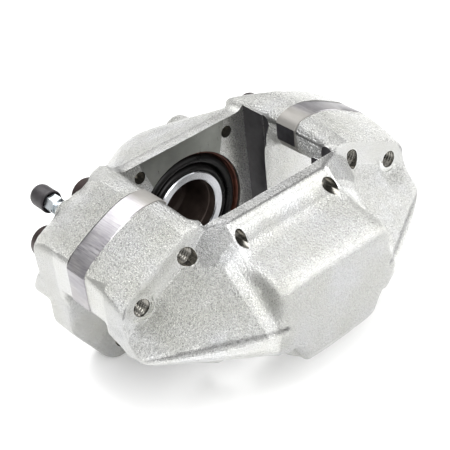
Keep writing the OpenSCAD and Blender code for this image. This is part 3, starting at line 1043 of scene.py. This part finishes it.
def casting_material():
    """Zinc-plated sand casting: sparkling grain, dull hollows, a faint yellow-green bloom and painted
    shade in creases and on shaded faces.
    """
    material, tree, shader, place = new_material("zinc_plated_casting")
    grain = attribute_value(tree, "grain")
    painted_shade = attribute_value(tree, "painted_shade")
    sand = noise_texture(tree, place, 1.0, 2.5, 0.6)
    fine = noise_texture(tree, place, 0.45, 2.0, 0.5)
    patches = noise_texture(tree, place, 22.0, 3.0, 0.55)
    bloom = noise_texture(tree, place, 9.0, 4.0, 0.6)
    base = ramp(tree, patches, [(0.32, (0.62, 0.62, 0.59)), (0.52, (0.66, 0.66, 0.65)),
                                (0.7, (0.69, 0.695, 0.71))])
    bloomed = tint(tree, span(tree, bloom, 0.0, 0.3), base, (0.60, 0.605, 0.54))
    hollow = ramp(tree, sand, [(0.3, (0.6, 0.6, 0.6)), (0.52, (0, 0, 0))])
    grained = tint(tree, multiply(tree, hollow, grain), bloomed, (0.30, 0.30, 0.295))
    # Painted shade: the stored shade darkens the colour towards dark grey.
    shaded_colour = tint(tree, span_of(tree, painted_shade, 0.0, 0.6, 0.0, 0.8), grained, (0.13, 0.13, 0.13))
    tree.links.new(shaded_colour, shader.inputs["Base Color"])
    shader.inputs["Metallic"].default_value = 0.9
    tree.links.new(span(tree, fine, 0.2, 0.36), shader.inputs["Roughness"])
    height = scaled_sum(tree, fine, 0.4, sand)
    bump(tree, shader, height, 2.3, span_of(tree, grain, 0.0, 1.0, 0.1, 1.0))
    return material


def machined_material():
    """Milled zinc-plated face with faint cutter marks and a greenish cast."""
    material, tree, shader, place = new_material("machined_face")
    marks = noise_texture(tree, place, 0.7, 2.0, 0.5, stretch=(1, 1, 0.12))
    stain = noise_texture(tree, place, 14.0, 3.0, 0.6)
    base = ramp(tree, stain, [(0.3, (0.26, 0.27, 0.245)), (0.55, (0.33, 0.34, 0.315)),
                              (0.75, (0.40, 0.40, 0.38))])
    tree.links.new(base, shader.inputs["Base Color"])
    shader.inputs["Metallic"].default_value = 0.9
    tree.links.new(span(tree, marks, 0.26, 0.4), shader.inputs["Roughness"])
    bump(tree, shader, marks, 0.03, 0.5)
    return material


def spacer_material():
    """Ground block: scratches across the band, purple-grey plating and a duller inner end."""
    material, tree, shader, place = new_material("ground_spacer")
    scratches = noise_texture(tree, place, 0.55, 3.0, 0.65, stretch=(1, 0.06, 1))
    plating = noise_texture(tree, place, 12.0, 2.0, 0.5)
    base = ramp(tree, plating, [(0.3, (0.38, 0.365, 0.39)), (0.55, (0.47, 0.46, 0.47)),
                                (0.75, (0.54, 0.52, 0.51))])
    streaked = tint(tree, span(tree, scratches, 0.8, 0.0), base, (0.15, 0.14, 0.16))
    away = tree.nodes.new("ShaderNodeSeparateXYZ")
    tree.links.new(place, away.inputs[0])
    inner = span_of(tree, multiply(tree, away.outputs["X"], away.outputs["X"]),
                    (48 * MM) ** 2, (53 * MM) ** 2, 0.8, 0.0)
    ended = tint(tree, inner, streaked, (0.33, 0.32, 0.295))
    tree.links.new(ended, shader.inputs["Base Color"])
    shader.inputs["Metallic"].default_value = 0.95
    rough = scaled_sum(tree, inner, 0.4, span(tree, scratches, 0.24, 0.42))
    tree.links.new(rough, shader.inputs["Roughness"])
    bump(tree, shader, scratches, 0.06, 0.7)
    return material


def plain_material(name, dark, light, metallic, rough, size_mm, relief_mm, shine=0.5):
    """Two-tone material with mottled roughness and a fine relief."""
    material, tree, shader, place = new_material(name)
    mottle = noise_texture(tree, place, size_mm, 4.0, 0.6)
    fine = noise_texture(tree, place, size_mm / 12, 2.0, 0.5)
    tree.links.new(ramp(tree, mottle, [(0.3, dark), (0.7, light)]), shader.inputs["Base Color"])
    tree.links.new(span(tree, mottle, rough[0], rough[1]), shader.inputs["Roughness"])
    shader.inputs["Metallic"].default_value = metallic
    shader.inputs["Specular IOR Level"].default_value = shine
    bump(tree, shader, fine, relief_mm, 0.6)
    return material


# Name, dark and light colour, metallic, roughness range, mottle and relief in mm, and shine
PLAIN_MATERIALS = {
    # Drilled holes: drilled metal, darkened further as painted shade inside the holes.
    "drilled": ("drilled_hole_painted_shade", (0.24, 0.23, 0.21), (0.32, 0.31, 0.28), 0.95, (0.14, 0.26),
                4.0, 0.01),
    "abutment": ("ground_abutment", (0.085, 0.083, 0.09), (0.14, 0.135, 0.145), 0.9,
                 (0.30, 0.42), 6.0, 0.02),
    "bolt": ("black_oxide_bolt", (0.022, 0.013, 0.012), (0.055, 0.036, 0.033), 0.7,
             (0.28, 0.45), 5.0, 0.03),
    "piston": ("plated_piston", (0.66, 0.67, 0.71), (0.80, 0.81, 0.84), 1.0, (0.16, 0.30),
               8.0, 0.01),
    "piston_inside": ("piston_bore", (0.030, 0.020, 0.017), (0.085, 0.062, 0.052), 0.5,
                      (0.40, 0.62), 9.0, 0.04),
    "boot": ("boot_rubber", (0.003, 0.003, 0.003), (0.010, 0.009, 0.009), 0.0, (0.24, 0.38),
             10.0, 0.02, 0.22),
    "boot_ring": ("boot_ring_steel", (0.050, 0.014, 0.008), (0.13, 0.045, 0.028), 0.5,
                  (0.30, 0.48), 6.0, 0.02),
    "rubber": ("seal_rubber", (0.010, 0.010, 0.011), (0.028, 0.027, 0.027), 0.0,
               (0.42, 0.58), 6.0, 0.02),
    "cap_rubber": ("cap_rubber", (0.014, 0.012, 0.014), (0.040, 0.034, 0.038), 0.0,
                   (0.40, 0.56), 5.0, 0.04),
    "bright_steel": ("bright_zinc", (0.62, 0.67, 0.70), (0.80, 0.84, 0.87), 1.0,
                     (0.20, 0.34), 4.0, 0.02),
}
MATERIALS = {"casting": casting_material(), "machined": machined_material(),
             "spacer": spacer_material()}
for key, values in PLAIN_MATERIALS.items():
    MATERIALS[key] = plain_material(*values)


# ---------- camera, light and floor ----------

CAMERA_PLACE = Vector((-305.35, -399.22, 361.0)) * MM
CAMERA_AZIMUTH, CAMERA_ELEVATION, CAMERA_ROLL = -37.06, 35.15, 6.87
CAMERA_LENS = 102.75


def make_camera():
    """Camera at the photograph's viewing angle."""
    az, el, roll = (math.radians(a) for a in (CAMERA_AZIMUTH, CAMERA_ELEVATION, CAMERA_ROLL))
    ahead = Vector((-math.sin(az) * math.cos(el), math.cos(az) * math.cos(el), -math.sin(el)))
    level = Vector((math.cos(az), math.sin(az), 0))
    down = ahead.cross(level)
    right = level * math.cos(roll) + down * math.sin(roll)
    up = ahead.cross(right) * -1
    data = bpy.data.cameras.new("camera")
    data.lens = CAMERA_LENS
    data.clip_start = 0.01
    camera = bpy.data.objects.new("camera", data)
    bpy.context.scene.collection.objects.link(camera)
    rotation = Matrix((right, up, -ahead)).transposed()
    camera.matrix_world = Matrix.Translation(CAMERA_PLACE) @ rotation.to_4x4()
    bpy.context.scene.camera = camera


def softbox(name, place, size, power):
    """Square area light at a place in metres, turned towards the caliper."""
    data = bpy.data.lights.new(name, "AREA")
    data.shape = "SQUARE"
    data.size = size
    data.energy = power
    light = bpy.data.objects.new(name, data)
    bpy.context.scene.collection.objects.link(light)
    light.location = place
    light.rotation_euler = (-Vector(place)).to_track_quat("-Z", "Y").to_euler()


def make_stage():
    low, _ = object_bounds()
    side = 6000
    corners = [(-side, -side, 0), (side, -side, 0), (side, side, 0), (-side, side, 0)]
    floor = add_object("floor", corners, [(0, 1, 2, 3)], smooth=False)
    floor.location.z = low.z
    material, tree, shader, place = new_material("pale_floor")
    tone = noise_texture(tree, place, 300.0, 2.0, 0.5)
    tree.links.new(ramp(tree, tone, [(0.3, (0.93, 0.93, 0.93)), (0.7, (0.96, 0.96, 0.96))]),
                   shader.inputs["Base Color"])
    shader.inputs["Roughness"].default_value = 0.9
    shader.inputs["Emission Color"].default_value = (1, 1, 1, 1)
    shader.inputs["Emission Strength"].default_value = 0.12
    floor.data.materials.append(material)


def make_light():
    world = bpy.data.worlds.new("studio")
    bpy.context.scene.world = world
    world.use_nodes = True
    back = world.node_tree.nodes["Background"]
    back.inputs["Color"].default_value = (1, 1, 1, 1)
    back.inputs["Strength"].default_value = 0.6
    softbox("back_softbox", (0.12, 0.5, 0.85), 0.8, 8.0)
    softbox("right_softbox", (1.05, -0.25, 0.4), 0.6, 4.0)
    softbox("left_softbox", (-0.35, -0.6, 0.9), 0.7, 8.0)
    softbox("front_softbox", (0.6, -0.95, 0.25), 0.5, 2.2)
    bpy.context.scene.view_settings.view_transform = "Standard"


# ---------- the whole caliper ----------

def place_piece(piece, body, slot, *nodes):
    """Puts a finished piece on its body, in place of its CAD nodes."""
    if body:
        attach(piece, body)
    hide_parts(*nodes)


def build_caliper():
    """Every visible piece, each in the place of its CAD node."""
    place_piece(inboard_half(), "caliper", "casting", "inboard_half")
    place_piece(outboard_half(), "caliper", "casting", "outboard_half")
    for side_name, sign in (("left", -1), ("right", 1)):
        node = f"{side_name}_spacer"
        place_piece(spacer(f"{node}_block", sign), "caliper", "spacer", node)
        for level, (x, z) in (("upper", UPPER_BOLT), ("lower", LOWER_BOLT)):
            node = f"{level}_{side_name}_bolt"
            place_piece(bridge_bolt(f"{node}_turned", (sign * x, z)), "caliper", "bolt", node)
        for end in ("inner", "outer"):
            node = f"{side_name}_{end}_passage_seal"
            seal = passage_seal(node)
            seal.name = f"{node}_ring"
            place_piece(seal, "caliper", "rubber", node)
    for name, side in (("inboard", INBOARD), ("outboard", OUTBOARD)):
        body = f"{name}_piston"
        place_piece(piston(f"{body}_turned", side), body, "piston", body)
        place_piece(piston_seal(f"{name}_square_seal", side), "caliper", "rubber",
                    f"{name}_piston_seal")
        place_piece(dust_boot(f"{name}_bellows", side), None, "rubber",
                    f"{name}_dust_boot")
        place_piece(boot_ring(f"{name}_pressed_ring", side), "caliper", "boot_ring",
                    f"{name}_boot_ring")
    place_piece(bleed_screw("bleed_screw_turned"), "bleed_screw", "bright_steel", "bleed_screw")
    place_piece(bleed_cap("bleed_cap_moulded"), "bleed_cap", "rubber", "bleed_cap")


make_camera()
make_stage()
make_light()
build_caliper()
